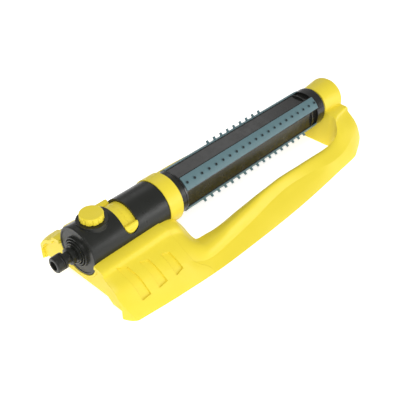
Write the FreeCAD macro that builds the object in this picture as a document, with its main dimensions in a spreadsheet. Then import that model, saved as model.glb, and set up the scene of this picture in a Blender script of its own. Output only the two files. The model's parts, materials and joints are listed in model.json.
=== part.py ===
import FreeCAD, Part
import math
import os
import Sketcher

V = FreeCAD.Vector
doc = FreeCAD.newDocument("sprinkler")

# Driving sizes in millimetres, degrees where the name says so.
DRIVING = [
    ("axis_height", 44.0),
    ("housing_radius", 25.0),
    ("housing_bore", 22.5),
    ("case_radius", 20.2),
    ("case_bore", 18.0),
    ("bearing_radius", 26.0),
    ("journal_bore", 19.0),
    ("tube_radius", 22.9),
    ("sleeve_bore", 18.0),
    ("manifold_radius", 17.6),
    ("nipple_radius", 8.0),
    ("water_bore", 4.7),
    ("plug_radius", 6.0),
    ("knob_radius", 11.2),
    ("pin_radius", 3.0),
    ("running_gap", 0.05),
    ("strip_tilt_deg", 43.2),
    ("nozzle_pitch", 10.53),
]
sheet = doc.addObject("Spreadsheet::Sheet", "Sizes")
for row, (alias, value) in enumerate(DRIVING, start=1):
    sheet.set("A%d" % row, alias)
    sheet.set("B%d" % row, str(value))
    sheet.setAlias("B%d" % row, alias)
doc.recompute()
SIZE = {alias: float(sheet.get(alias)) for alias, value in DRIVING}

AXIS_Z = SIZE["axis_height"]
GAP = SIZE["running_gap"]
TILT = SIZE["strip_tilt_deg"]
TUBE_R = SIZE["tube_radius"]
X_AXIS = V(1, 0, 0)
Z_AXIS = V(0, 0, 1)
CENTRE = V(0, 0, AXIS_Z)

# Stations along the swing axis.
HOUSING_X = (-186.4, -92.9)
BEARING_X = (-92.9, -74.9)
COLLAR_X = (-74.5, -67.9)
SLEEVE_X = (-67.4, 152.6)
CAP_X = (152.6, 166.6)
PANEL_X = (-67.4, 139.6)
STRIP_X = (-65.4, 153.1)
SLOT_X = (-146.9, -131.2)
NOZZLE_MID_X = 44.2
KNOB_X = -166.4
FRAME_X = (-188.6, 212.6)
BOSS_X = (168.8, 201.8)
OPENING_X = (-80.0, 167.6)

nodes = []


# ---------------------------------------------------------------- helpers
def register(obj, label):
    obj.Label = label
    nodes.append(obj)
    return obj


def feature(label, shape):
    obj = doc.addObject("Part::Feature", label)
    obj.Shape = shape
    return register(obj, label)


def put(obj, name, value):
    """Set a size, or bind it to the sheet when it is given as an expression."""
    if isinstance(value, str):
        obj.setExpression(name, value)
    else:
        setattr(obj, name, value)


def rod(name, radius, length, start, axis=X_AXIS):
    obj = doc.addObject("Part::Cylinder", name)
    put(obj, "Radius", radius)
    put(obj, "Height", length)
    obj.Placement = FreeCAD.Placement(start, FreeCAD.Rotation(Z_AXIS, axis))
    return obj


def origin_item(body, role):
    return [item for item in body.Origin.OriginFeatures if item.Role == role][0]


def polygon_sketch(body, outline):
    sketch = body.newObject("Sketcher::SketchObject", body.Name + "_outline")
    sketch.AttachmentSupport = [(origin_item(body, "XZ_Plane"), "")]
    sketch.MapMode = "FlatFace"
    count = len(outline)
    for index in range(count):
        start = V(outline[index][0], outline[index][1], 0)
        end = V(outline[(index + 1) % count][0], outline[(index + 1) % count][1], 0)
        sketch.addGeometry(Part.LineSegment(start, end), False)
    for index in range(count):
        sketch.addConstraint(Sketcher.Constraint("Coincident", index, 2, (index + 1) % count, 1))
    return sketch


def turned(name, outline):
    """A body revolved about the swing axis from (x, radius) corners."""
    body = doc.addObject("PartDesign::Body", name)
    sketch = polygon_sketch(body, outline)
    doc.recompute()
    turn = body.newObject("PartDesign::Revolution", name + "_turn")
    turn.Profile = sketch
    turn.ReferenceAxis = (sketch, ["H_Axis"])
    turn.Angle = 360.0
    body.Tip = turn
    body.setExpression("Placement.Base.z", "Sizes.axis_height")
    doc.recompute()
    return body


def pipe(name, x_range, outer, inner):
    return turned(name, [(x_range[0], inner), (x_range[1], inner), (x_range[1], outer), (x_range[0], outer)])


def disc(name, x_range, radius):
    return turned(name, [(x_range[0], 0), (x_range[1], 0), (x_range[1], radius), (x_range[0], radius)])


def less(label, base, tools):
    """Base with every tool cut away, registered as a node."""
    tool = tools[0]
    if len(tools) > 1:
        tool = doc.addObject("Part::MultiFuse", label + "_tools")
        tool.Shapes = tools
    result = doc.addObject("Part::Cut", label)
    result.Base = base
    result.Tool = tool
    doc.recompute()
    return register(result, label)


def around(angle_deg, radius, x=0.0):
    """Point at an angle from the top, positive toward the front."""
    angle = math.radians(angle_deg)
    return V(x, -radius * math.sin(angle), AXIS_Z + radius * math.cos(angle))


def outward(angle_deg):
    angle = math.radians(angle_deg)
    return V(0, -math.sin(angle), math.cos(angle))


def turned_by(shape, angle_deg):
    """Copy of a shape swung about the axis, positive toward the front."""
    copy = shape.copy()
    copy.rotate(CENTRE, X_AXIS, angle_deg)
    return copy


def full_ring(x_range, outer, inner):
    start = V(x_range[0], 0, AXIS_Z)
    length = x_range[1] - x_range[0]
    return Part.makeCylinder(outer, length, start, X_AXIS).cut(Part.makeCylinder(inner, length, start, X_AXIS))


def arc_block(x_range, outer, inner, centre_deg, half_deg):
    """Part of a ring, half_deg either side of centre_deg."""
    reach = outer * 2.0
    corners = [CENTRE, around(centre_deg - half_deg, reach), around(centre_deg, reach),
               around(centre_deg + half_deg, reach), CENTRE]
    wedge = Part.Face(Part.makePolygon(corners)).extrude(V(x_range[1] - x_range[0], 0, 0))
    wedge.translate(V(x_range[0], 0, 0))
    return full_ring(x_range, outer, inner).common(wedge)


def joined(shapes):
    result = shapes[0]
    if len(shapes) > 1:
        result = shapes[0].multiFuse(shapes[1:])
    return result.removeSplitter()


# ---------------------------------------------------------------- base frame
# Each station: x, then (half width, height) of rim, slope, crest, crease, flank and foot.
FRAME_STATIONS = [
    (-188.6, (26.0, 42.0), (37.6, 35.8), (48.0, 29.3), (56.2, 20.7), (63.4, 10.8), (68.5, 0.0)),
    (-177.6, (26.0, 43.0), (38.0, 37.0), (49.0, 30.9), (57.9, 22.2), (65.0, 11.2), (70.0, 0.0)),
    (-135.4, (26.0, 43.0), (38.0, 36.5), (49.5, 29.6), (59.5, 21.0), (68.5, 10.0), (75.0, 0.0)),
    (-112.0, (26.0, 43.0), (38.0, 36.3), (50.5, 28.2), (62.0, 18.2), (70.5, 8.6), (77.0, 0.0)),
    (-100.0, (26.0, 41.5), (38.5, 33.5), (51.5, 25.0), (64.0, 13.3), (71.5, 7.0), (78.0, 0.0)),
    (-92.4, (25.5, 38.5), (39.5, 29.0), (54.0, 22.0), (66.5, 10.5), (72.5, 5.5), (78.5, 0.0)),
    (-80.0, (20.0, 26.0), (40.0, 18.0), (57.5, 18.6), (68.0, 8.6), (73.4, 4.4), (79.2, 0.0)),
    (-60.0, (30.0, 10.0), (45.0, 14.4), (57.5, 19.0), (67.0, 8.8), (73.4, 4.6), (79.6, 0.0)),
    (-45.4, (30.0, 10.0), (46.0, 15.2), (56.5, 20.8), (66.0, 9.8), (73.0, 4.8), (79.6, 0.0)),
    (-10.4, (30.0, 12.0), (45.0, 17.4), (53.8, 23.8), (63.5, 12.6), (72.4, 6.2), (79.4, 0.0)),
    (19.6, (30.0, 13.0), (45.0, 19.2), (51.2, 25.2), (60.0, 15.0), (70.8, 7.4), (78.8, 0.0)),
    (51.6, (30.0, 13.0), (44.0, 19.4), (49.6, 24.6), (57.8, 16.0), (69.2, 7.8), (77.6, 0.0)),
    (93.6, (30.0, 13.0), (44.5, 18.0), (49.5, 21.8), (59.5, 14.4), (68.4, 7.2), (74.8, 0.0)),
    (129.6, (30.0, 14.0), (45.5, 18.0), (51.0, 20.2), (63.8, 12.4), (68.2, 6.2), (71.6, 0.0)),
    (152.0, (28.0, 30.0), (43.0, 25.5), (50.5, 22.5), (62.5, 13.0), (66.4, 7.0), (69.8, 0.0)),
    (167.6, (25.5, 43.0), (38.0, 37.2), (48.0, 28.4), (59.0, 17.0), (64.4, 8.4), (68.4, 0.0)),
    (187.6, (24.0, 43.0), (33.0, 37.4), (44.5, 28.8), (53.5, 18.5), (58.5, 9.0), (61.8, 0.0)),
    (200.0, (24.0, 41.0), (31.0, 38.0), (41.0, 29.6), (48.8, 21.6), (53.6, 10.4), (56.2, 0.0)),
    (207.0, (22.0, 33.0), (28.5, 30.6), (37.0, 24.0), (44.5, 16.0), (49.0, 8.0), (51.5, 0.0)),
    (214.6, (20.0, 19.0), (27.0, 16.9), (34.0, 13.0), (41.0, 8.5), (46.0, 4.5), (49.0, 0.0)),
]
STATION_STEP = 11.0
SHELL = 3.0
SKIRT = 3.0
LIFT_BELOW = 1.0
WIDE = 95.0
TALL = 90.0
PAST_END = 300.0

# Plan outlines as (x, half width), from the side to the middle.
FAR_OUTLINE = [(152.0, 80.0), (171.3, 68.2), (184.0, 62.6), (193.0, 58.6), (200.0, 54.6), (206.5, 48.0),
               (210.4, 38.0), (212.3, 22.0), (212.6, 0.0)]
NEAR_OUTLINE = [(-160.0, 79.0), (-174.4, 71.6), (-181.3, 68.4), (-185.4, 63.6), (-188.2, 57.0), (-189.3, 48.0),
                (-189.4, 30.0), (-189.4, 0.0)]
WING_EDGE = [(-88.0, 76.0), (-92.0, 71.0), (-98.0, 67.2), (-102.6, 62.0), (-105.3, 49.0), (-106.5, 37.0),
             (-109.0, 26.0), (-109.6, 0.0)]
WING_RISE = 0.9
OPENING_EDGE = [(-80.0, 45.0), (-60.0, 45.8), (-30.0, 44.8), (5.0, 43.8), (40.0, 43.2), (66.0, 42.6),
                (96.0, 44.6), (126.0, 47.0), (148.0, 48.0), (160.5, 45.0), (166.8, 38.0), (167.6, 28.0)]


def slope_between(before, after):
    """Harmonic mean of two slopes, or level where they change sign."""
    if before * after <= 0.0:
        return 0.0
    return 2.0 * before * after / (before + after)


def eased(xs, values, x):
    """Smooth value at x that never overshoots the given values."""
    last = len(xs) - 1
    index = min(max(sum(1 for known in xs if known <= x) - 1, 0), last - 1)
    steps = [(values[i + 1] - values[i]) / (xs[i + 1] - xs[i]) for i in range(last)]
    slopes = [steps[0]] + [slope_between(steps[i - 1], steps[i]) for i in range(1, last)] + [steps[-1]]
    span = xs[index + 1] - xs[index]
    t = (x - xs[index]) / span
    rise = t * t * (3.0 - 2.0 * t)
    start_slope = slopes[index] * span * t * (1.0 - t) ** 2
    end_slope = slopes[index + 1] * span * t * t * (t - 1.0)
    return values[index] + rise * (values[index + 1] - values[index]) + start_slope + end_slope


def eased_station(x, lift=0.0):
    """The six corners of the frame's half section at any x, raised except at the foot."""
    xs = [station[0] for station in FRAME_STATIONS]
    shares = (1.0, 1.0, 1.0, 1.0, 0.5, 0.0)
    corners = []
    for corner, share in enumerate(shares, start=1):
        widths = [station[corner][0] for station in FRAME_STATIONS]
        heights = [station[corner][1] for station in FRAME_STATIONS]
        corners.append((eased(xs, widths, x), eased(xs, heights, x) + lift * share))
    return corners


def even_stations(first, last):
    count = int(math.ceil((last - first) / STATION_STEP))
    return [first + (last - first) * index / count for index in range(count + 1)]


def spline_edge(points):
    curve = Part.BSplineCurve()
    count = len(points) - 1
    curve.interpolate(Points=points, Parameters=[index / count for index in range(count + 1)])
    return curve.toShape()


def section_wire(x, corners, bottom):
    """Closed frame section: a smooth crown, curved sides, short upright feet and a flat bottom."""
    crown = corners[:4]
    side = corners[3:]
    foot, ground = side[-1]
    edges = [
        spline_edge([V(x, -y, z) for y, z in crown[::-1]] + [V(x, y, z) for y, z in crown]),
        spline_edge([V(x, y, z) for y, z in side]),
        Part.makeLine(V(x, foot, ground), V(x, foot, bottom)),
        Part.makeLine(V(x, foot, bottom), V(x, -foot, bottom)),
        Part.makeLine(V(x, -foot, bottom), V(x, -foot, ground)),
        spline_edge([V(x, -y, z) for y, z in side[::-1]]),
    ]
    return Part.Wire(edges)


def inner_corners(corners):
    """The same half section moved inward by the wall thickness."""
    rim, slope, crest, crease, flank, foot = corners
    return [(rim[0], rim[1] - SHELL), (slope[0] - 0.4, slope[1] - SHELL), (crest[0] - 1.0, crest[1] - SHELL),
            (crease[0] - SHELL, crease[1] - SHELL * 0.8), (flank[0] - SHELL, max(flank[1] - 2.0, 0.4)),
            (foot[0] - SHELL, -LIFT_BELOW)]


def frame_outer(lift=0.0):
    xs = even_stations(FRAME_X[0], FRAME_STATIONS[-1][0])
    return Part.makeLoft([section_wire(x, eased_station(x, lift), -SKIRT) for x in xs], True, False)


def frame_inner():
    xs = even_stations(FRAME_X[0] + END_RECESS + SHELL, FRAME_X[1] - SHELL)
    return Part.makeLoft([section_wire(x, inner_corners(eased_station(x)), -SKIRT) for x in xs], True, False)


def outline_prism(points, close_x, bottom):
    """Vertical prism between a smooth mirrored edge and a straight end at close_x."""
    curve = Part.BSplineCurve()
    mirrored = [V(x, -y, bottom) for x, y in points] + [V(x, y, bottom) for x, y in points[::-1] if y > 0.0]
    curve.interpolate(mirrored)
    first = mirrored[0]
    last = mirrored[-1]
    back = [last, V(last.x, WIDE, bottom), V(close_x, WIDE, bottom), V(close_x, -WIDE, bottom),
            V(first.x, -WIDE, bottom), first]
    wire = Part.Wire([curve.toShape()] + Part.makePolygon(back).Edges)
    return Part.Face(wire).extrude(V(0, 0, TALL))


def opening_prism(grow, bottom):
    """The gap that the tube swings in, grown by a wall where asked."""
    front = [V(x, -y - grow, bottom) for x, y in OPENING_EDGE]
    rear = [V(x, y + grow, bottom) for x, y in OPENING_EDGE]
    for edge in (front, rear):
        edge[0].x -= grow
        edge[-1].x += grow
    front_curve = Part.BSplineCurve()
    front_curve.interpolate(front)
    rear_curve = Part.BSplineCurve()
    rear_curve.interpolate(rear[::-1])
    wire = Part.Wire([front_curve.toShape(), Part.makeLine(front[-1], rear[-1]), rear_curve.toShape(),
                      Part.makeLine(rear[0], front[0])])
    return Part.Face(wire).extrude(V(0, 0, TALL))


def axis_rod(x_range, radius):
    return Part.makeCylinder(radius, x_range[1] - x_range[0], V(x_range[0], 0, AXIS_Z), X_AXIS)


SCREW_STATIONS = (-176.0, -104.0)
SCREW_OFFSET = 8.0
SCREW_HEAD_Z = AXIS_Z - 29.4
SCREW_POST_R = 5.0
SCREW_HOLE_R = 1.9
# Plan corners (x, half width) of the recesses in each wing, top edge first.
WINDOWS = [
    [(-173.7, 37.1), (-163.5, 40.3), (-158.4, 64.5), (-168.7, 64.6)],
    [(-151.3, 42.6), (-142.3, 44.8), (-137.6, 64.4), (-148.1, 64.9)],
    [(-129.1, 47.1), (-120.2, 49.1), (-116.8, 64.1), (-126.4, 65.2)],
]
WINDOW_SINK = (0.8, 1.3)
END_RECESS = 3.4
RECESS_HALF = 58.0
CRADLE_LIP = 2.0
CRADLE_LIP_X = -186.6
CRADLE_HALF = 24.0
END_ARCH = [(-57.0, -1.0), (-57.0, 5.5), (-43.0, 5.5), (-36.0, 11.4), (36.0, 11.4), (43.0, 5.5),
            (57.0, 5.5), (57.0, -1.0)]
RIB_STATIONS = (-150.0, -115.0, -40.0, 0.0, 40.0, 80.0, 120.0, 185.0)
RIB_THICKNESS = 1.8
RIB_LIFT = 2.0
END_RIB = 2.4
BOSS_R = (20.8, 24.0)
BOSS_EDGE = 5.0
BOSS_CORE_R = 12.0
PIN_HEAD_R = 5.4
PIN_HEAD_DEPTH = 3.2


def frame_hollow():
    """Everything inside the moulded shell, open underneath."""
    far = [(x - SHELL, max(y - SHELL, 0.0)) for x, y in FAR_OUTLINE]
    near = [(x + SHELL, max(y - SHELL, 0.0)) for x, y in NEAR_OUTLINE]
    hollow = frame_inner().common(outline_prism(far, -PAST_END, -SKIRT))
    hollow = hollow.common(outline_prism(near, PAST_END, -SKIRT))
    solids = [
        axis_rod((FRAME_X[0], OPENING_X[0]), SIZE["bearing_radius"] + SHELL),
        opening_prism(SHELL, -SKIRT),
        axis_rod((OPENING_X[1] - 1.0, FRAME_X[1]), BOSS_CORE_R),
        Part.makeBox(FRAME_X[1] - OPENING_X[1], END_RIB, TALL, V(OPENING_X[1], -END_RIB / 2, RIB_LIFT * 2)),
    ]
    for x in SCREW_STATIONS:
        for side in (-1, 1):
            start = V(x, side * SCREW_OFFSET, SCREW_HEAD_Z)
            solids.append(Part.makeCylinder(SCREW_POST_R, AXIS_Z, start, Z_AXIS))
    for x in RIB_STATIONS:
        solids.append(Part.makeBox(RIB_THICKNESS, WIDE * 2, TALL, V(x, -WIDE, RIB_LIFT)))
    for solid in solids:
        hollow = hollow.cut(solid)
    return hollow


def end_recess():
    """Sets the end wall back behind the edge of the skin, leaving a lip below the housing."""
    mouth = Part.makeBox(END_RECESS + 2.0, 2 * RECESS_HALF, TALL, V(FRAME_X[0] - 1.0, -RECESS_HALF, -SKIRT))
    corners = inner_corners(eased_station(FRAME_X[0]))
    wires = [section_wire(x, corners, -SKIRT) for x in (FRAME_X[0] - 1.0, FRAME_X[0] + END_RECESS)]
    lip = axis_rod((CRADLE_LIP_X, HOUSING_X[1]), SIZE["housing_radius"] + CRADLE_LIP)
    return Part.makeLoft(wires, True, True).cut(lip).common(mouth)


def window_recess(outer, plan, side):
    """Shallow recess that follows the outer surface of a wing."""
    corners = [V(x, side * y, 0) for x, y in plan + plan[:1]]
    prism = Part.Face(Part.makePolygon(corners)).extrude(V(0, 0, TALL))
    floor = outer.copy()
    floor.translate(V(0, -side * WINDOW_SINK[0], -WINDOW_SINK[1]))
    return outer.common(prism).cut(floor)


def far_boss():
    boss = Part.makeCone(BOSS_R[0], BOSS_R[1], BOSS_X[1] - BOSS_X[0], V(BOSS_X[0], 0, AXIS_Z), X_AXIS)
    far_edges = [edge for edge in boss.Edges if edge.BoundBox.XMin > BOSS_X[1] - 0.1]
    return boss.makeFillet(BOSS_EDGE, far_edges)


def base_frame():
    plain = frame_outer()
    wing = frame_outer(WING_RISE).common(outline_prism(WING_EDGE, -PAST_END, 0.0))
    outer = plain.fuse(wing).common(outline_prism(FAR_OUTLINE, -PAST_END, 0.0))
    outer = outer.common(outline_prism(NEAR_OUTLINE, PAST_END, 0.0))
    cuts = [window_recess(wing, plan, side) for plan in WINDOWS for side in (-1, 1)]
    arch = Part.Face(Part.makePolygon([V(FRAME_X[0] - 1.0, y, z) for y, z in END_ARCH + END_ARCH[:1]]))
    cuts += [
        frame_hollow(),
        opening_prism(0.0, -SKIRT),
        axis_rod((FRAME_X[0] - 1.0, HOUSING_X[1]), SIZE["housing_radius"]),
        axis_rod((HOUSING_X[1], OPENING_X[0] + 1.0), SIZE["bearing_radius"]),
        Part.makeBox(OPENING_X[0] - FRAME_X[0] + 2.0, 2 * CRADLE_HALF, TALL,
                     V(FRAME_X[0] - 1.0, -CRADLE_HALF, AXIS_Z)),
        end_recess(),
        arch.extrude(V(END_RECESS + SHELL + 2.0, 0, 0)),
        axis_rod((OPENING_X[1] - 1.0, BOSS_X[1] + 1.0), SIZE["pin_radius"]),
        axis_rod((BOSS_X[1] - PIN_HEAD_DEPTH, BOSS_X[1] + 1.0), PIN_HEAD_R),
    ]
    for x in SCREW_STATIONS:
        for side in (-1, 1):
            start = V(x, side * SCREW_OFFSET, -1.0)
            cuts.append(Part.makeCylinder(SCREW_HOLE_R, AXIS_Z, start, Z_AXIS))
    shell = outer.fuse(far_boss())
    for cut in cuts:
        shell = shell.cut(cut)
    return feature("base_frame", shell.removeSplitter())


# ---------------------------------------------------------------- drive housing
SLOT_HALF_DEG = 74.5
SLOT_CORNER = 7.5
RING_R = (20.5, 22.0)
TAB_UNDER_R = 22.9
TAB_TOP_R = 24.5
TAB_DEG = (53.0, 73.0)
TAB_ROUND_DEG = 55.0
# Outer profile of each thumb tab as (angle from the top, radius).
FRONT_TAB = [(73.0, 24.3), (65.0, 25.55), (57.0, 26.2), (54.0, 25.8), (53.0, 24.1), (63.0, 23.9)]
REAR_TAB = [(73.0, 24.6), (71.0, 26.4), (68.0, 27.8), (64.0, 28.7), (60.0, 28.8), (56.5, 28.0), (54.0, 26.4),
            (53.0, 24.1), (63.0, 23.9)]
TAB_CLEARANCE = 0.3
KNOB_SEAT_R = 14.8
STEM_HOLE_R = 6.4
POST_R = 3.6
THREAD_R = 1.4


def slot_tool(outer, inner):
    """Round-ended slot over the top of the housing."""
    corner_deg = math.degrees(SLOT_CORNER / SIZE["housing_radius"])
    middle = arc_block(SLOT_X, outer, inner, 0.0, SLOT_HALF_DEG - corner_deg)
    mid_x = (SLOT_X[0] + SLOT_X[1]) / 2
    ends = []
    for side in (-1, 1):
        direction = outward(side * (SLOT_HALF_DEG - corner_deg))
        ends.append(Part.makeCylinder((SLOT_X[1] - SLOT_X[0]) / 2, outer, V(mid_x, 0, AXIS_Z), direction))
    rounded = joined(ends).common(full_ring(SLOT_X, outer, inner))
    return middle.fuse(rounded)


def gearbox_housing():
    outer = SIZE["housing_radius"]
    bore = SIZE["housing_bore"]
    chamfer = 1.0
    body = turned("housing_turning", [(HOUSING_X[0], bore), (HOUSING_X[1], bore), (HOUSING_X[1], outer),
                                      (HOUSING_X[0] + chamfer, outer), (HOUSING_X[0], outer - chamfer)])
    shape = body.Shape.copy()
    seat = Part.makeCylinder(KNOB_SEAT_R, 8.0, V(KNOB_X, 0, AXIS_Z + 17.9), Z_AXIS)
    seat = seat.makeFillet(0.5, [edge for edge in seat.Edges if edge.BoundBox.ZMin > AXIS_Z + 25.8])
    seat = seat.cut(axis_rod((KNOB_X - 20.0, KNOB_X + 20.0), bore))
    shape = shape.fuse(seat)
    for x in SCREW_STATIONS:
        for side in (-1, 1):
            post = Part.makeCylinder(POST_R, 30.0, V(x, side * SCREW_OFFSET, AXIS_Z - 24.0), Z_AXIS)
            post = post.common(full_ring((x - 4.0, x + 4.0), bore + 0.5, SIZE["case_radius"] + 0.1))
            post = post.common(Part.makeBox(10.0, 60.0, 30.0, V(x - 5.0, -30.0, AXIS_Z - 30.0)))
            shape = shape.fuse(post)
            hole = Part.makeCylinder(THREAD_R, 20.0, V(x, side * SCREW_OFFSET, AXIS_Z - 30.0), Z_AXIS)
            shape = shape.cut(hole.common(full_ring((x - 4.0, x + 4.0), 32.0, SIZE["case_radius"])))
    shape = shape.cut(slot_tool(outer + 2.0, bore - 1.0))
    shape = shape.cut(Part.makeCylinder(STEM_HOLE_R, 20.0, V(KNOB_X, 0, AXIS_Z + 15.0), Z_AXIS))
    feature("gearbox_housing", shape.removeSplitter())


def inlet_parts():
    bore = SIZE["water_bore"]
    plate = turned("inlet_end_plate", [
        (-181.6, 5.6), (-181.6, 20.0), (-183.6, 20.0), (-183.6, 22.4), (-186.0, 22.4), (-186.0, 15.4),
        (-188.4, 15.0), (-188.4, 13.8), (-186.2, 13.6), (-186.2, 12.9), (-189.4, 12.6), (-189.4, 11.5),
        (-187.0, 11.3), (-187.0, 10.6), (-190.6, 10.4), (-190.6, 9.2), (-188.4, 9.0), (-188.4, 5.6)])
    register(plate, "inlet_end_plate")
    barrel = SIZE["nipple_radius"]
    nipple = turned("hose_nipple", [
        (-212.6, bore), (-182.4, bore), (-182.4, 5.6), (-188.4, 5.6), (-188.4, 8.6), (-190.8, 8.6),
        (-191.2, 6.2), (-192.8, 6.2), (-193.2, 8.2), (-196.6, 8.2), (-197.4, 5.8), (-202.2, 5.8),
        (-202.2, barrel), (-204.6, barrel), (-204.6, 6.0), (-206.8, 6.0), (-206.8, barrel),
        (-211.4, barrel), (-212.2, barrel - 0.6), (-212.6, barrel - 1.6)])
    register(nipple, "hose_nipple")
    ring = doc.addObject("Part::Torus", "nipple_o_ring")
    ring.Radius1 = 7.0
    ring.Radius2 = 1.0
    ring.Placement = FreeCAD.Placement(V(-205.7, 0, AXIS_Z), FreeCAD.Rotation(Z_AXIS, X_AXIS))
    register(ring, "nipple_o_ring")
    mesh = disc("filter_disc", (-181.4, -180.8), 8.0)
    holes = [rod("filter_hole_0", 0.8, 4.0, V(-183.0, 0, AXIS_Z))]
    for ring_radius, count in ((2.6, 6), (5.2, 12)):
        for index in range(count):
            hole = rod("filter_hole", 0.8, 4.0, around(360.0 * index / count, ring_radius, -183.0))
            holes.append(hole)
    less("inlet_filter", mesh, holes)


def pressure_parts():
    outer = SIZE["case_radius"]
    bore = SIZE["case_bore"]
    case = turned("case_turning", [
        (-181.6, bore), (-99.0, bore), (-99.0, 5.1), (-97.0, 5.1), (-97.0, outer), (-181.6, outer)])
    tools = [rod("case_plug_hole", STEM_HOLE_R, 30.0, V(KNOB_X, 0, AXIS_Z), Z_AXIS)]
    for index in range(6):
        tools.append(rod("case_water_hole", 3.0, 10.0, around(60.0 * index, 11.0, -102.0)))
    less("pressure_case", case, tools)
    block = disc("valve_block", (-180.2, -154.6), bore)
    drilled = [rod("valve_bore", "Sizes.water_bore", 40.0, V(-190.0, 0, AXIS_Z)),
               rod("valve_seat", "Sizes.plug_radius + Sizes.running_gap", 40.0, V(KNOB_X, 0, AXIS_Z - 9.0), Z_AXIS),
               pipe("valve_relief", (-181.0, -178.4), 8.4, 1.0)]
    less("valve_body", block, drilled)


PLUG_GROOVES = (11.0, 14.0)


def valve_parts():
    radius = SIZE["plug_radius"]
    start = V(KNOB_X, 0, AXIS_Z - 8.8)
    stem_top = AXIS_Z + 31.0
    plug = Part.makeCylinder(radius, AXIS_Z + 24.0 - start.z, start, Z_AXIS)
    plug = plug.fuse(Part.makeCylinder(4.0, stem_top - AXIS_Z, V(KNOB_X, 0, AXIS_Z), Z_AXIS))
    plug = plug.cut(Part.makeCylinder(SIZE["water_bore"] - 0.4, 20.0, V(KNOB_X - 10.0, 0, AXIS_Z), X_AXIS))
    rings = []
    for height in PLUG_GROOVES:
        centre = V(KNOB_X, 0, AXIS_Z + height)
        groove = Part.makeCylinder(radius + 1.0, 1.6, centre - V(0, 0, 0.8), Z_AXIS)
        groove = groove.cut(Part.makeCylinder(radius - 1.4, 1.6, centre - V(0, 0, 0.8), Z_AXIS))
        plug = plug.cut(groove)
        rings.append(Part.makeTorus(radius - 0.7, 0.7, centre, Z_AXIS))
    feature("valve_plug", plug)
    feature("valve_o_rings", Part.makeCompound(rings))
    flutes = 10
    knob_bottom = AXIS_Z + 26.3
    knob_height = 6.8
    reach = SIZE["knob_radius"] + 1.3
    knob = Part.makeCylinder(SIZE["knob_radius"], knob_height, V(KNOB_X, 0, knob_bottom), Z_AXIS)
    knob = knob.makeFillet(1.3, [edge for edge in knob.Edges if edge.BoundBox.ZMin > knob_bottom + 6.0])
    for index in range(flutes):
        angle = 2 * math.pi * (index + 0.5) / flutes
        spot = V(KNOB_X + reach * math.cos(angle), reach * math.sin(angle), knob_bottom - 1.0)
        knob = knob.cut(Part.makeCylinder(2.0, knob_height, spot, Z_AXIS))
    pocket = Part.makeCylinder(8.6, 3.6, V(KNOB_X, 0, knob_bottom), Z_AXIS)
    pocket = pocket.cut(Part.makeCylinder(5.6, 3.6, V(KNOB_X, 0, knob_bottom), Z_AXIS))
    knob = knob.cut(pocket)
    knob = knob.cut(Part.makeCylinder(4.0, stem_top - knob_bottom, V(KNOB_X, 0, knob_bottom), Z_AXIS))
    feature("flow_knob", knob)


def range_ring(label, side, ring_x, profile):
    """Adjusting ring with a round-ended tab; side +1 is the front one."""
    slot_middle = (SLOT_X[0] + SLOT_X[1]) / 2
    tab_half_width = (SLOT_X[1] - SLOT_X[0]) / 2 - TAB_CLEARANCE
    tab_x = (slot_middle - tab_half_width, slot_middle + tab_half_width)
    middle = (TAB_DEG[0] + TAB_DEG[1]) / 2
    half = (TAB_DEG[1] - TAB_DEG[0]) / 2
    web_x = (max(ring_x[0], tab_x[0]) + 0.6, min(ring_x[1], tab_x[1]) - 0.6)
    ring = full_ring(ring_x, RING_R[1], RING_R[0])
    web = arc_block(web_x, TAB_UNDER_R + 0.3, RING_R[0] + 0.2, side * (TAB_DEG[0] + 6.0), 4.0)
    plate = arc_block(tab_x, TAB_TOP_R, TAB_UNDER_R, side * middle, half)
    corners = [around(side * angle, reach, tab_x[0]) for angle, reach in profile + profile[:1]]
    thumb = Part.Face(Part.makePolygon(corners)).extrude(V(tab_x[1] - tab_x[0], 0, 0))
    rounded = Part.makeCylinder(tab_half_width, 40.0, V(slot_middle, 0, AXIS_Z), outward(side * TAB_ROUND_DEG))
    tab = joined([plate, thumb]).common(rounded)
    feature(label, joined([ring, web, tab]))


# ---------------------------------------------------------------- water motor and gears
GEAR_MODULE = 0.5
PINION_TEETH = 10
WHEEL_TEETH = 28
GEAR_CENTRES = GEAR_MODULE * (PINION_TEETH + WHEEL_TEETH) / 2
GEAR_FACE = 3.0
GEAR_STEP = 3.5
FIRST_MESH_X = -135.5
PRESSURE_ANGLE = math.radians(20.0)
SIDE_DEG = 90.0
SHAFT_R = 1.5
SIDE_PIN_R = 1.2


def involute(angle):
    return math.tan(angle) - angle


def gear_outline(teeth, thickness_share):
    """Tooth corners as (radius, angle) pairs for one tooth centred on zero."""
    pitch_radius = GEAR_MODULE * teeth / 2
    base = pitch_radius * math.cos(PRESSURE_ANGLE)
    tip = pitch_radius + 0.9 * GEAR_MODULE
    root = pitch_radius - 1.25 * GEAR_MODULE
    half = math.pi * thickness_share / teeth
    flank = []
    for step in range(5):
        radius = max(base, root) + (tip - max(base, root)) * step / 4
        roll = involute(math.acos(min(1.0, base / radius)))
        flank.append((radius, half + involute(PRESSURE_ANGLE) - roll))
    return root, flank


def gear_shape(teeth, x, centre, first_deg, bore):
    """Spur gear along X with a tooth at first_deg from the top."""
    root, flank = gear_outline(teeth, 0.40)
    points = []
    for tooth in range(teeth):
        middle = math.radians(first_deg) + 2 * math.pi * tooth / teeth
        profile = [(root, -flank[0][1])] + [(radius, -half) for radius, half in flank]
        profile += [(radius, half) for radius, half in flank[::-1]] + [(root, flank[0][1])]
        for radius, offset in profile:
            angle = middle + offset
            points.append(V(x, centre.y - radius * math.sin(angle), centre.z + radius * math.cos(angle)))
    blank = Part.Face(Part.makePolygon(points + points[:1])).extrude(V(GEAR_FACE, 0, 0))
    return blank.cut(Part.makeCylinder(bore, GEAR_FACE, V(x, centre.y, centre.z), X_AXIS))


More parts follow.
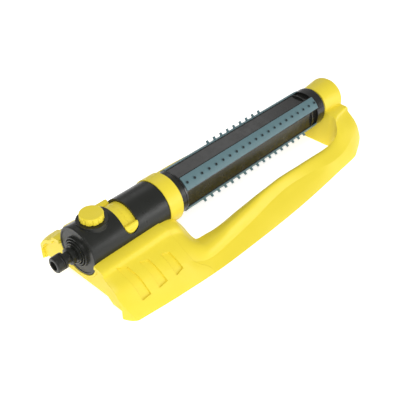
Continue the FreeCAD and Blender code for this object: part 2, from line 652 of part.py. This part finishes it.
def gear_hub(x_range, centre, radius, bore):
    start = V(x_range[0], centre.y, centre.z)
    length = x_range[1] - x_range[0]
    return Part.makeCylinder(radius, length, start, X_AXIS).cut(Part.makeCylinder(bore, length, start, X_AXIS))


def compound_gear(label, stage, centre, mate_deg, bore):
    """Wheel driven from the previous stage and the pinion that drives the next."""
    wheel_x = FIRST_MESH_X + GEAR_STEP * (stage - 1)
    pinion_x = wheel_x + GEAR_STEP
    wheel = gear_shape(WHEEL_TEETH, wheel_x, centre, mate_deg, bore)
    gap_deg = mate_deg + 180.0 / PINION_TEETH
    pinion = gear_shape(PINION_TEETH, pinion_x, centre, gap_deg, bore)
    neck = gear_hub((wheel_x + GEAR_FACE, pinion_x), centre, 1.85, bore)
    feature(label, joined([wheel, neck, pinion]))


def bored_disc(label, x_range, radius, bore, holes):
    plate = disc(label + "_disc", x_range, radius)
    tools = [rod(label + "_bore", bore, 10.0, V(x_range[0] - 2.0, 0, AXIS_Z))]
    for angle, reach, hole_radius in holes:
        tools.append(rod(label + "_hole", hole_radius, 10.0, around(angle, reach, x_range[0] - 2.0)))
    less(label, plate, tools)


def turbine_parts():
    inside = SIZE["case_bore"]
    jets = [(30.0 + 60.0 * index, 12.0, 1.4) for index in range(6)]
    bored_disc("turbine_jet_plate", (-152.0, -149.8), inside, SHAFT_R + GAP, jets)
    sweep = [(10.0 + 60.0 * index, 12.0, 3.2) for index in range(6)]
    bored_disc("reversing_disc", (-153.9, -152.4), 16.0, SHAFT_R + GAP, sweep)
    hub = gear_hub((-148.6, -140.6), CENTRE, 4.0, SHAFT_R)
    rim = full_ring((-148.0, -141.2), 15.4, 14.4)
    vanes = []
    for index in range(12):
        vane = Part.makeBox(0.9, 8.2, 11.2, V(-145.05, -4.1, AXIS_Z + 3.6))
        vane.rotate(V(-144.6, 0, AXIS_Z), Z_AXIS, 62.0)
        vane = vane.common(Part.makeBox(6.4, 20.0, 20.0, V(-147.8, -10.0, AXIS_Z)))
        vanes.append(turned_by(vane, 30.0 * index))
    feature("turbine_wheel", joined([hub, rim] + vanes))
    shaft = rod("turbine_shaft", SHAFT_R, 34.2, V(-154.2, 0, AXIS_Z))
    register(shaft, "turbine_shaft")
    pinion = gear_shape(PINION_TEETH, FIRST_MESH_X, CENTRE, SIDE_DEG + 180.0 / PINION_TEETH, SHAFT_R)
    feature("turbine_pinion", pinion)


def gear_parts():
    side_centre = around(SIDE_DEG, GEAR_CENTRES)
    vents = [(-90.0 + angle, 11.5, 3.0) for angle in (-50.0, 0.0, 50.0)]
    pin_seat = [(SIDE_DEG, GEAR_CENTRES, SIDE_PIN_R)]
    bored_disc("gear_plate_inlet", (-139.4, -137.2), SIZE["case_bore"], SHAFT_R + GAP, vents + pin_seat)
    bored_disc("gear_plate_outlet", (-120.4, -118.4), SIZE["case_bore"], 5.1, vents + pin_seat)
    compound_gear("compound_gear_1", 1, side_centre, SIDE_DEG + 180.0, SIDE_PIN_R + GAP)
    compound_gear("compound_gear_2", 2, CENTRE, SIDE_DEG, SHAFT_R + GAP)
    compound_gear("compound_gear_3", 3, side_centre, SIDE_DEG + 180.0, SIDE_PIN_R + GAP)
    pin = rod("gear_pin", SIDE_PIN_R, 21.0, around(SIDE_DEG, GEAR_CENTRES, -139.4))
    register(pin, "gear_pin")
    last_x = FIRST_MESH_X + GEAR_STEP * 3
    wheel = gear_shape(WHEEL_TEETH, last_x, CENTRE, SIDE_DEG, 1.0)
    shaft = axis_rod((last_x, -90.0), 5.0)
    socket = axis_rod((last_x - 1.0, -119.0), SHAFT_R + GAP)
    flat = Part.makeBox(6.0, 20.0, 4.0, V(-96.0, -10.0, AXIS_Z + 3.8))
    feature("output_shaft", wheel.fuse(shaft).cut(socket).cut(turned_by(flat, TILT)).removeSplitter())


# ---------------------------------------------------------------- swinging tube
def bearing_and_collar():
    bore = SIZE["journal_bore"]
    ring = turned("bearing_ring", [
        (-96.0, bore), (BEARING_X[1], bore), (BEARING_X[1], SIZE["bearing_radius"] - 1.2),
        (BEARING_X[1] - 1.2, SIZE["bearing_radius"]), (BEARING_X[0], SIZE["bearing_radius"]),
        (BEARING_X[0], SIZE["housing_bore"]), (-96.0, SIZE["housing_bore"])])
    register(ring, "bearing_ring")
    journal = bore - GAP
    groove = (-89.2, -87.2)
    collar = turned("collar_turning", [
        (-95.0, 15.8), (-82.0, 15.8), (-82.0, SIZE["manifold_radius"]), (COLLAR_X[1], SIZE["manifold_radius"]),
        (COLLAR_X[1], TUBE_R), (COLLAR_X[0], TUBE_R), (COLLAR_X[0], journal), (groove[1], journal),
        (groove[1], 17.2), (groove[0], 17.2), (groove[0], journal), (-95.0, journal)])
    shape = collar.Shape.copy()
    hub = gear_hub((-95.0, -90.0), CENTRE, 7.5, 5.0)
    flat = Part.makeBox(5.0, 7.0, 1.4, V(-95.0, -3.5, AXIS_Z + 3.8))
    spokes = []
    for index in range(3):
        spoke = Part.makeBox(5.0, 2.4, 9.6, V(-95.0, -1.2, AXIS_Z + 6.8))
        spokes.append(turned_by(spoke, TILT + 120.0 * index))
    feature("tube_collar", joined([shape, hub, turned_by(flat, TILT)] + spokes))
    seal = doc.addObject("Part::Torus", "shaft_seal")
    seal.Radius1 = 18.05
    seal.Radius2 = 0.85
    seal.Placement = FreeCAD.Placement(V(-88.2, 0, AXIS_Z), FreeCAD.Rotation(Z_AXIS, X_AXIS))
    register(seal, "shaft_seal")


def nozzle_stations(count):
    pitch = SIZE["nozzle_pitch"]
    return [NOZZLE_MID_X + (index - (count - 1) / 2) * pitch for index in range(count)]


def water_tube():
    radius = SIZE["manifold_radius"]
    wall = MANIFOLD_WALL
    tube = pipe("water_tube_turning", (-82.0, 150.0), radius, radius - wall)
    holes = []
    for x in nozzle_stations(21):
        holes.append(rod("water_outlet", OUTLET_R, 30.0, around(TILT, 5.0, x), outward(TILT)))
    less("water_tube", tube, holes)
    plug = turned("tube_plug", [(145.0, 0), (151.2, 0), (151.2, radius - 0.4), (150.0, radius - 0.4),
                                (150.0, radius - wall), (145.0, radius - wall)])
    register(plug, "tube_plug")


STRIP_SEAT_R = 20.6
STRIPS = [("nozzle_strip_top", 0.0, 18.0, 21, 1.5, 0.9), ("nozzle_strip_front", 80.0, 11.0, 17, 1.4, 3.0),
          ("nozzle_strip_rear", -80.0, 11.0, 9, 1.4, 3.0)]
STRIP_CROWN = 0.7
STRIP_SIDE_DEG = 0.7
STRIP_END_GAP = (0.4, 0.6)
STUD_TAPER = 0.25
NOZZLE_BORE_R = 0.5
SLEEVE_HOLE_R = 1.1
OUTLET_R = 1.6
MANIFOLD_WALL = 1.8
PANEL_DEG = (20.6, 66.0)


def panel_cut(x_range, side, depth):
    """Flat taken off the sleeve between two strips."""
    middle = TILT + side * (PANEL_DEG[0] + PANEL_DEG[1]) / 2
    half = (PANEL_DEG[1] - PANEL_DEG[0]) / 2
    floor = TUBE_R * math.cos(math.radians(half)) - depth
    width = 2 * TUBE_R * math.sin(math.radians(half))
    block = Part.makeBox(x_range[1] - x_range[0], width, 10.0, V(x_range[0], -width / 2, AXIS_Z + floor))
    return turned_by(block, middle)


def spray_tube():
    sleeve = full_ring(SLEEVE_X, TUBE_R, SIZE["sleeve_bore"])
    tools = []
    for side in (-1, 1):
        tools.append(panel_cut((PANEL_X[0] + 2.0, PANEL_X[1]), side, 0.5))
        tools.append(panel_cut((PANEL_X[1] + 1.2, PANEL_X[1] + 11.4), side, 1.9))
    for label, offset, half, count, stud_radius, stud_height in STRIPS:
        tools.append(arc_block(STRIP_X, TUBE_R + 2.0, STRIP_SEAT_R, TILT + offset, half + STRIP_SIDE_DEG))
        for x in nozzle_stations(count):
            direction = outward(TILT + offset)
            tools.append(Part.makeCylinder(SLEEVE_HOLE_R, 10.0, around(TILT + offset, 15.0, x), direction))
    feature("spray_tube", sleeve.cut(joined(tools)).removeSplitter())


def nozzle_strip(label, offset, half, count, stud_radius, stud_height):
    """Soft strip with a row of nozzle studs, each bored right through."""
    angle = TILT + offset
    ends = (STRIP_X[0] + STRIP_END_GAP[0], STRIP_X[1] - STRIP_END_GAP[1])
    top = TUBE_R + STRIP_CROWN
    strip = arc_block(ends, top, STRIP_SEAT_R, angle, half)
    studs = []
    bores = []
    for x in nozzle_stations(count):
        direction = outward(angle)
        base = around(angle, STRIP_SEAT_R + 0.5, x)
        studs.append(Part.makeCone(stud_radius + STUD_TAPER, stud_radius, top - STRIP_SEAT_R - 0.5 + stud_height,
                                   base, direction))
        bores.append(Part.makeCylinder(NOZZLE_BORE_R, 10.0, around(angle, STRIP_SEAT_R - 0.2, x), direction))
    shape = strip.multiFuse(studs).cut(Part.makeCompound(bores))
    feature(label, shape)


CAP_EDGE = 3.2
CAP_SPIGOT_R = 17.9
BUSH_R = 5.0
BUSH_X = (CAP_X[0] + 2.0, CAP_X[1])
PIN_START_X = CAP_X[0] + 3.0
WASHER_R = 8.0
HEAD_R = 3.2
SHANK_R = 1.4
HEAD_DEPTH = 2.0
CROSS_SLOT = (4.4, 0.9)


def tube_end_parts():
    round_steps = 5
    edge = CAP_EDGE
    rounding = []
    for step in range(round_steps + 1):
        angle = math.pi / 2 * step / round_steps
        rounding.append((CAP_X[1] - edge + edge * math.sin(angle), TUBE_R - edge + edge * math.cos(angle)))
    spigot = [(CAP_X[0] + 0.5, BUSH_R), (CAP_X[0] + 0.5, CAP_SPIGOT_R), (CAP_X[0], CAP_SPIGOT_R)]
    cap = turned("end_cap_turning", spigot + [(CAP_X[0], TUBE_R)] + rounding + [(CAP_X[1], BUSH_R)])
    less("tube_end_cap", cap, [pipe("cap_relief", (CAP_X[0] - 1.0, CAP_X[1] - 4.0), 16.0, 8.0)])
    pin_r = SIZE["pin_radius"]
    bush = turned("pivot_bush", [(BUSH_X[0], pin_r + GAP), (BUSH_X[1], pin_r + GAP), (BUSH_X[1], BUSH_R),
                                 (BUSH_X[0], BUSH_R)])
    register(bush, "pivot_bush")
    head_x = (BOSS_X[1] - PIN_HEAD_DEPTH, BOSS_X[1] - 0.8)
    pin = turned("pivot_pin", [(PIN_START_X, 0), (head_x[1], 0), (head_x[1], BUSH_R), (head_x[0], BUSH_R),
                               (head_x[0], pin_r), (PIN_START_X + 0.6, pin_r), (PIN_START_X, pin_r - 0.6)])
    register(pin, "pivot_pin")
    washer = pipe("thrust_washer", (CAP_X[1] + 0.3, OPENING_X[1]), WASHER_R, pin_r)
    register(washer, "thrust_washer")


def housing_screws():
    screws = []
    for x in SCREW_STATIONS:
        for side in (-1, 1):
            base = V(x, side * SCREW_OFFSET, SCREW_HEAD_Z)
            head = Part.makeCylinder(HEAD_R, HEAD_DEPTH, base - V(0, 0, HEAD_DEPTH), Z_AXIS)
            long, thin = CROSS_SLOT
            slot = Part.makeBox(long, thin, HEAD_DEPTH / 2, base - V(long / 2, thin / 2, HEAD_DEPTH))
            slot = slot.fuse(Part.makeBox(thin, long, HEAD_DEPTH / 2, base - V(thin / 2, long / 2, HEAD_DEPTH)))
            shank = Part.makeCylinder(SHANK_R, 9.0, base, Z_AXIS)
            screws.append(head.cut(slot).fuse(shank))
    feature("housing_screws", Part.makeCompound(screws))


# ---------------------------------------------------------------- build
base_frame()
housing_screws()
gearbox_housing()
inlet_parts()
pressure_parts()
valve_parts()
range_ring("range_ring_front", 1, (-149.6, -139.1), FRONT_TAB)
range_ring("range_ring_rear", -1, (-139.0, -128.6), REAR_TAB)
turbine_parts()
gear_parts()
bearing_and_collar()
water_tube()
spray_tube()
for strip in STRIPS:
    nozzle_strip(*strip)
tube_end_parts()
doc.recompute()

for obj in doc.Objects:
    if "Invalid" in obj.State or "Error" in obj.State:
        raise RuntimeError("object in error: " + obj.Label)
os.makedirs("parts", exist_ok=True)
for node in nodes:
    if node.Shape.isNull() or not node.Shape.isValid():
        raise RuntimeError("bad shape: " + node.Label)
    node.Shape.exportStep("parts/%s.step" % node.Label)
    box = node.Shape.BoundBox
    print("%-20s solids %d volume %9.1f  x %.1f..%.1f y %.1f..%.1f z %.1f..%.1f" % (
        node.Label, len(node.Shape.Solids), node.Shape.Volume, box.XMin, box.XMax, box.YMin, box.YMax,
        box.ZMin, box.ZMax))
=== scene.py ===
import json
import math

import bpy
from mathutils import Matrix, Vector

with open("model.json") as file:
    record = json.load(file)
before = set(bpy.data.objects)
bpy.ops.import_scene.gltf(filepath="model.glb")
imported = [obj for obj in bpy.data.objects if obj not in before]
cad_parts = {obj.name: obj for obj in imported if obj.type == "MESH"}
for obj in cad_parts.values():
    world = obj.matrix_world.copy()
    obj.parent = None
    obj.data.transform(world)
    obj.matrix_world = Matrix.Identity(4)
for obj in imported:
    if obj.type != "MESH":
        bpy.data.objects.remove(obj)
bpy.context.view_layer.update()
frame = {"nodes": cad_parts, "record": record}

MM = 0.001
NODES = frame["nodes"]

# The camera, in millimetres and degrees.
CAMERA_PLACE = Vector((-442.0, -388.85, 455.1))
CAMERA_AZIMUTH = -46.975
CAMERA_ELEVATION = 37.958
CAMERA_LENS = 61.27
CAMERA_SENSOR = 36.0

# The stage, in metres, and the strength of the white sky round it.
WHITE = (1.0, 1.0, 1.0, 1.0)
WORLD_LIGHT = 0.38
FLOOR_GLOW = 0.7
FLOOR_SIZE = 8.0
FLOOR_DROP = 0.0002
FLOOR_COLOUR = (0.9, 0.9, 0.9, 1.0)
FLOOR_ROUGHNESS = 0.9

# Each area light has a name, a place, an aim, a disc size in metres and a power in watts.
LIGHTS = [
    ("key", (-0.9, -0.8, 1.5), (0.0, 0.0, 0.0), 1.1, 18.0),
    ("low_front", (0.9, -1.3, 0.35), (-0.05, 0.0, 0.04), 0.7, 6.0),
    ("back_top", (0.9, 0.9, 1.1), (0.0, 0.0, 0.0), 0.8, 1.3),
]

# Colours in linear light.
YELLOW_DARK = (0.86, 0.69, 0.035)
YELLOW_LIGHT = (0.91, 0.74, 0.05)
STRIP_DARK = (0.10, 0.18, 0.20)
STRIP_LIGHT = (0.13, 0.22, 0.24)
# NOZZLE_SHADE is painted shade: the dark colour put round each nozzle for the shadow in its bore.
NOZZLE_SHADE = (0.012, 0.02, 0.022)
SEAL_DARK = (0.012, 0.012, 0.012)
SEAL_LIGHT = (0.02, 0.02, 0.02)
STEEL_DARK = (0.45, 0.45, 0.47)
STEEL_LIGHT = (0.62, 0.62, 0.64)

# Nodes whose finish differs from their material slot in the record.
OWN_FINISH = {
    "spray_tube": "gloss_black",
    "tube_end_cap": "gloss_black",
    "nozzle_strip_top": "nozzle_shaded_rubber",
# The top strip's finish has painted shade round each nozzle.
}

# Each plastic: dark and light colour, roughness, grain size, grain depth and softened edge in mm, gloss.
PLASTICS = {
    "yellow_plastic": (YELLOW_DARK, YELLOW_LIGHT, 0.40, 0.9, 0.012, 0.4, 0.4),
    "black_plastic": ((0.012, 0.013, 0.011), (0.018, 0.019, 0.016), 0.31, 0.6, 0.012, 0.4, 0.36),
    "gloss_black": ((0.010, 0.010, 0.009), (0.015, 0.015, 0.013), 0.22, 0.9, 0.004, 0.3, 0.5),
    "gear_plastic": ((0.72, 0.71, 0.64), (0.8, 0.79, 0.73), 0.35, 0.5, 0.01, 0.15, 0.5),
    "inner_plastic": ((0.05, 0.055, 0.06), (0.07, 0.075, 0.08), 0.42, 0.6, 0.02, 0.25, 0.5),
}

# Roughness and gloss of the other surfaces, and how far roughness drifts down and up.
PLASTIC_SHEEN = (0.05, 0.07)
RUBBER_SHEEN = 0.06
RUBBER_ROUGHNESS = 0.5
RUBBER_GLOSS = 0.4
SEAL_ROUGHNESS = 0.45
STRIP_ROUGHNESS = (0.42, 0.54)
STRIP_GLOSS = 0.45
STEEL_ROUGHNESS = (0.22, 0.36)

# The part of a noise value's range that is spread over a surface's low and high.
NOISE_RANGE = (0.3, 0.7)

# How far across each surface's marks are, in millimetres, and the steel's drawing lines.
COLOUR_DRIFT = 38.0
GLOSS_PATCH = 9.0
MOULD_FLOW = 60.0
RUBBER_MARBLING = 14.0
RUBBER_PATCH = 5.0
RUBBER_GRAIN = 0.7
RUBBER_GRAIN_DEPTH = 0.02
STRIP_GRAIN_DEPTH = 0.015
RUBBER_EDGE = 0.25
STEEL_LINES_PER_METRE = 4000.0
STEEL_STRETCH = 0.05
STEEL_LINE_DEPTH = 0.005
STEEL_EDGE = 0.1

# The swing axis and the top strip's nozzles, in millimetres and degrees, and how the painted shade round
# each nozzle fades.
AXIS_HEIGHT = 44.0
NOZZLE_MID_X = 44.2
NOZZLE_PITCH = 10.53
NOZZLE_DOT = 1.5
STRIP_TILT = 43.2
DOT_FADE = (0.75, 1.15)


# ---------------------------------------------------------------- materials
class Shader:
    """A node tree with a Principled shader and short ways to add nodes."""

    def __init__(self, name):
        self.material = bpy.data.materials.new(name)
        self.material.use_nodes = True
        self.tree = self.material.node_tree
        self.surface = self.tree.nodes["Principled BSDF"]
        self.place = self.add("ShaderNodeTexCoord").outputs["Object"]

    def add(self, kind, **settings):
        node = self.tree.nodes.new(kind)
        for key, value in settings.items():
            setattr(node, key, value)
        return node

    def link(self, source, target):
        self.tree.links.new(source, target)

    def noise(self, size_mm, detail=3.0, roughness=0.55):
        """Noise whose features are about size_mm across."""
        node = self.add("ShaderNodeTexNoise")
        node.inputs["Scale"].default_value = 1.0 / (size_mm * MM)
        node.inputs["Detail"].default_value = detail
        node.inputs["Roughness"].default_value = roughness
        self.link(self.place, node.inputs["Vector"])
        return node.outputs["Fac"]

    def spread(self, value, low, high):
        """Maps the middle of a noise value's range to low and high."""
        node = self.add("ShaderNodeMapRange")
        node.inputs["From Min"].default_value = NOISE_RANGE[0]
        node.inputs["From Max"].default_value = NOISE_RANGE[1]
        node.inputs["To Min"].default_value = low
        node.inputs["To Max"].default_value = high
        self.link(value, node.inputs["Value"])
        return node.outputs["Result"]

    def tint(self, value, dark, light):
        """Blends two colours by a value."""
        node = self.add("ShaderNodeMix", data_type="RGBA")
        node.inputs["A"].default_value = (*dark, 1.0)
        node.inputs["B"].default_value = (*light, 1.0)
        self.link(value, node.inputs["Factor"])
        return node.outputs["Result"]

    def bumps(self, layers, edge_mm):
        """Stacks (height, depth in mm) layers over a softened edge normal."""
        edge = self.add("ShaderNodeBevel")
        edge.inputs["Radius"].default_value = edge_mm * MM
        normal = edge.outputs["Normal"]
        for height, depth_mm in layers:
            bump = self.add("ShaderNodeBump")
            bump.inputs["Strength"].default_value = 1.0
            bump.inputs["Distance"].default_value = depth_mm * MM
            self.link(height, bump.inputs["Height"])
            self.link(normal, bump.inputs["Normal"])
            normal = bump.outputs["Normal"]
        self.link(normal, self.surface.inputs["Normal"])

    def math(self, operation, first, second):
        """A math node; second is a socket or a plain number."""
        node = self.add("ShaderNodeMath", operation=operation)
        self.link(first, node.inputs[0])
        if isinstance(second, float):
            node.inputs[1].default_value = second
        else:
            self.link(second, node.inputs[1])
        return node.outputs[0]

    def put(self, socket, value):
        self.surface.inputs[socket].default_value = value


def moulded_plastic(name, dark, light, roughness, grain_mm, grain_depth, edge_mm, gloss):
    """Moulded plastic: slight colour drift, fine grain and uneven gloss."""
    shader = Shader(name)
    drift = shader.noise(COLOUR_DRIFT)
    shader.link(shader.tint(drift, dark, light), shader.surface.inputs["Base Color"])
    patches = shader.noise(GLOSS_PATCH)
    sheen = shader.spread(patches, roughness - PLASTIC_SHEEN[0], roughness + PLASTIC_SHEEN[1])
    shader.link(sheen, shader.surface.inputs["Roughness"])
    shader.put("Specular IOR Level", gloss)
    flow = shader.noise(MOULD_FLOW, detail=1.0)
    shader.bumps([(flow, grain_depth * 2.0), (shader.noise(grain_mm), grain_depth)], edge_mm)
    return shader.material


def soft_rubber(name, dark, light, roughness):
    """Soft moulded rubber with a matt skin and faint marbling."""
    shader = Shader(name)
    shader.link(shader.tint(shader.noise(RUBBER_MARBLING), dark, light), shader.surface.inputs["Base Color"])
    sheen = shader.spread(shader.noise(RUBBER_PATCH), roughness - RUBBER_SHEEN, roughness + RUBBER_SHEEN)
    shader.link(sheen, shader.surface.inputs["Roughness"])
    shader.put("Specular IOR Level", RUBBER_GLOSS)
    shader.bumps([(shader.noise(RUBBER_GRAIN), RUBBER_GRAIN_DEPTH)], RUBBER_EDGE)
    return shader.material


def drawn_steel(name):
    """Bright steel with drawing lines along X."""
    shader = Shader(name)
    stretch = shader.add("ShaderNodeMapping")
    stretch.inputs["Scale"].default_value = (STEEL_STRETCH, 1.0, 1.0)
    shader.link(shader.place, stretch.inputs["Vector"])
    lines = shader.add("ShaderNodeTexNoise")
    lines.inputs["Scale"].default_value = STEEL_LINES_PER_METRE
    shader.link(stretch.outputs["Vector"], lines.inputs["Vector"])
    colour = shader.tint(lines.outputs["Fac"], STEEL_DARK, STEEL_LIGHT)
    shader.link(colour, shader.surface.inputs["Base Color"])
    shader.put("Metallic", 1.0)
    shader.link(shader.spread(lines.outputs["Fac"], *STEEL_ROUGHNESS), shader.surface.inputs["Roughness"])
    shader.bumps([(lines.outputs["Fac"], STEEL_LINE_DEPTH)], STEEL_EDGE)
    return shader.material


def nozzle_rubber(name, tilt_deg, dot_mm):
    """Strip rubber that is darker round each nozzle, with painted shade standing in for the shadow in the
    bore.
    """
    shader = Shader(name)
    body = shader.tint(shader.noise(RUBBER_MARBLING), STRIP_DARK, STRIP_LIGHT)
    turn = shader.add("ShaderNodeMapping", vector_type="TEXTURE")
    turn.inputs["Location"].default_value = (NOZZLE_MID_X * MM, 0.0, AXIS_HEIGHT * MM)
    turn.inputs["Rotation"].default_value = (math.radians(tilt_deg), 0.0, 0.0)
    shader.link(shader.place, turn.inputs["Vector"])
    axes = shader.add("ShaderNodeSeparateXYZ")
    shader.link(turn.outputs["Vector"], axes.inputs["Vector"])
    along = shader.math("DIVIDE", axes.outputs["X"], NOZZLE_PITCH * MM)
    along = shader.math("SUBTRACT", along, shader.math("ROUND", along, 0.0))
    along = shader.math("MULTIPLY", along, NOZZLE_PITCH * MM)
    along_squared = shader.math("MULTIPLY", along, along)
    across_squared = shader.math("MULTIPLY", axes.outputs["Y"], axes.outputs["Y"])
    reach = shader.math("SQRT", shader.math("ADD", along_squared, across_squared), 0.0)
    # Painted shade: a dark dot round each nozzle axis, fading out between the two DOT_FADE radii.
    bore_shade = shader.add("ShaderNodeMapRange", interpolation_type="SMOOTHSTEP")
    bore_shade.inputs["From Min"].default_value = dot_mm * DOT_FADE[0] * MM
    bore_shade.inputs["From Max"].default_value = dot_mm * DOT_FADE[1] * MM
    shader.link(reach, bore_shade.inputs["Value"])
    mixed = shader.add("ShaderNodeMix", data_type="RGBA")
    mixed.inputs["A"].default_value = (*NOZZLE_SHADE, 1.0)
    shader.link(body, mixed.inputs["B"])
    shader.link(bore_shade.outputs["Result"], mixed.inputs["Factor"])
    shader.link(mixed.outputs["Result"], shader.surface.inputs["Base Color"])
    sheen = shader.spread(shader.noise(RUBBER_PATCH), *STRIP_ROUGHNESS)
    shader.link(sheen, shader.surface.inputs["Roughness"])
    shader.put("Specular IOR Level", STRIP_GLOSS)
    shader.bumps([(shader.noise(RUBBER_GRAIN), STRIP_GRAIN_DEPTH)], RUBBER_EDGE)
    return shader.material


def make_materials():
    materials = {name: moulded_plastic(name, *finish) for name, finish in PLASTICS.items()}
    materials["nozzle_rubber"] = soft_rubber("nozzle_rubber", STRIP_DARK, STRIP_LIGHT, RUBBER_ROUGHNESS)
    # The top strip's rubber with painted shade round each nozzle.
    materials["nozzle_shaded_rubber"] = nozzle_rubber("nozzle_shaded_rubber", STRIP_TILT, NOZZLE_DOT)
    materials["seal_rubber"] = soft_rubber("seal_rubber", SEAL_DARK, SEAL_LIGHT, SEAL_ROUGHNESS)
    materials["steel"] = drawn_steel("steel")
    return materials


def paint_nodes(materials):
    """Gives every CAD node the material of its slot in the record, or its own finish."""
    for part in frame["record"]["subparts"]:
        mesh_object = NODES[part["node"]]
        slot = OWN_FINISH.get(part["node"], part["material_slot"])
        mesh_object.data.materials.clear()
        mesh_object.data.materials.append(materials[slot])


# ---------------------------------------------------------------- stage, light and camera
def make_stage():
    """A wide white floor under the part, faintly lit from within like a light table."""
    bpy.ops.mesh.primitive_plane_add(size=FLOOR_SIZE, location=(0.0, 0.0, -FLOOR_DROP))
    floor = bpy.context.object
    floor.name = "floor"
    shader = Shader("floor")
    shader.put("Base Color", FLOOR_COLOUR)
    shader.put("Roughness", FLOOR_ROUGHNESS)
    shader.put("Specular IOR Level", 0.0)
    shader.put("Emission Color", WHITE)
    shader.put("Emission Strength", FLOOR_GLOW)
    floor.data.materials.append(shader.material)


def area_light(name, place, aim, size, power):
    data = bpy.data.lights.new(name, "AREA")
    data.shape = "DISK"
    data.size = size
    data.energy = power
    light = bpy.data.objects.new(name, data)
    light.location = place
    light.rotation_euler = (Vector(aim) - Vector(place)).to_track_quat("-Z", "Y").to_euler()
    bpy.context.collection.objects.link(light)


def make_lights():
    world = bpy.data.worlds.new("studio")
    world.use_nodes = True
    background = world.node_tree.nodes["Background"]
    background.inputs["Color"].default_value = WHITE
    background.inputs["Strength"].default_value = WORLD_LIGHT
    bpy.context.scene.world = world
    for light in LIGHTS:
        area_light(*light)


def make_camera():
    azimuth = math.radians(CAMERA_AZIMUTH)
    elevation = math.radians(CAMERA_ELEVATION)
    back = Vector((math.sin(azimuth) * math.cos(elevation), -math.cos(azimuth) * math.cos(elevation),
                   math.sin(elevation)))
    data = bpy.data.cameras.new("camera")
    data.lens = CAMERA_LENS
    data.sensor_width = CAMERA_SENSOR
    camera = bpy.data.objects.new("camera", data)
    camera.location = CAMERA_PLACE * MM
    camera.rotation_euler = back.to_track_quat("Z", "Y").to_euler()
    bpy.context.collection.objects.link(camera)
    bpy.context.scene.camera = camera


bpy.context.scene.view_settings.view_transform = "Standard"
make_camera()
make_stage()
make_lights()
paint_nodes(make_materials())
